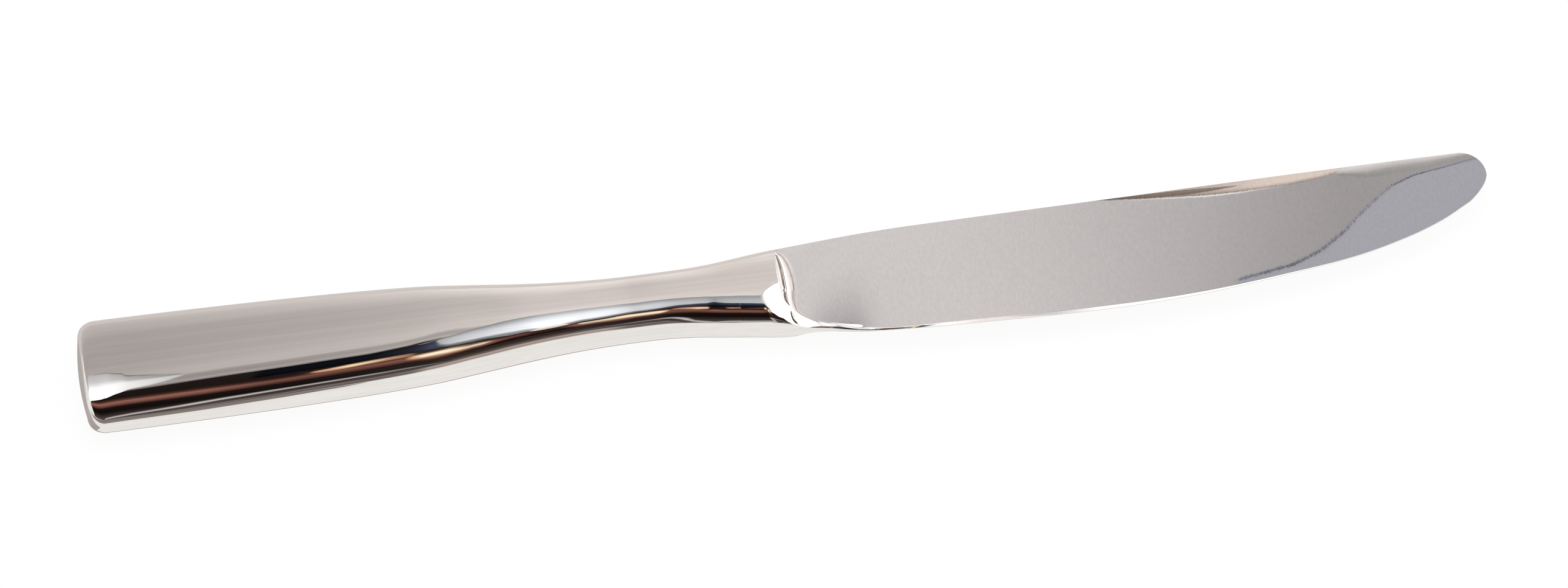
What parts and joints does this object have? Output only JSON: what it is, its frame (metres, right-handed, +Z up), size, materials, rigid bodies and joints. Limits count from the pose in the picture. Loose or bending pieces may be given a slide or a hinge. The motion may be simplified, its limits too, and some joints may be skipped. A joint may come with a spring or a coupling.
{
  "type": "table knife",
  "caption": "Table knife lying on its side: forged blade with bolster and tang, brazed and cemented into a hollow two-shell handle with a narrow neck.",
  "frame": {"origin": "bottom centre of the whole knife as it lies on its broad side: midway from butt to tip and across its width, on the plane of the handle's lower flat", "axes": "+X from the butt to the tip, +Y from the cutting edge to the spine, +Z up, through the thickness"},
  "size_m": [0.24, 0.0218, 0.0105],
  "materials": {
    "blade_steel": "fine-ground martensitic stainless steel blade, bolster polished to a mirror",
    "handle_steel": "mirror-polished austenitic stainless steel sheet",
    "filler_metal": "silver braze, ground flush and polished with the shells",
    "cement": "hard cutler's cement, rough and dry"
  },
  "bodies": {
    "root": {"blade": "blade_steel", "handle_shell_upper": "handle_steel", "handle_shell_lower": "handle_steel", "shell_seam": "filler_metal", "bolster_ring": "filler_metal", "handle_cement": "cement"}
  },
  "joints": []
}
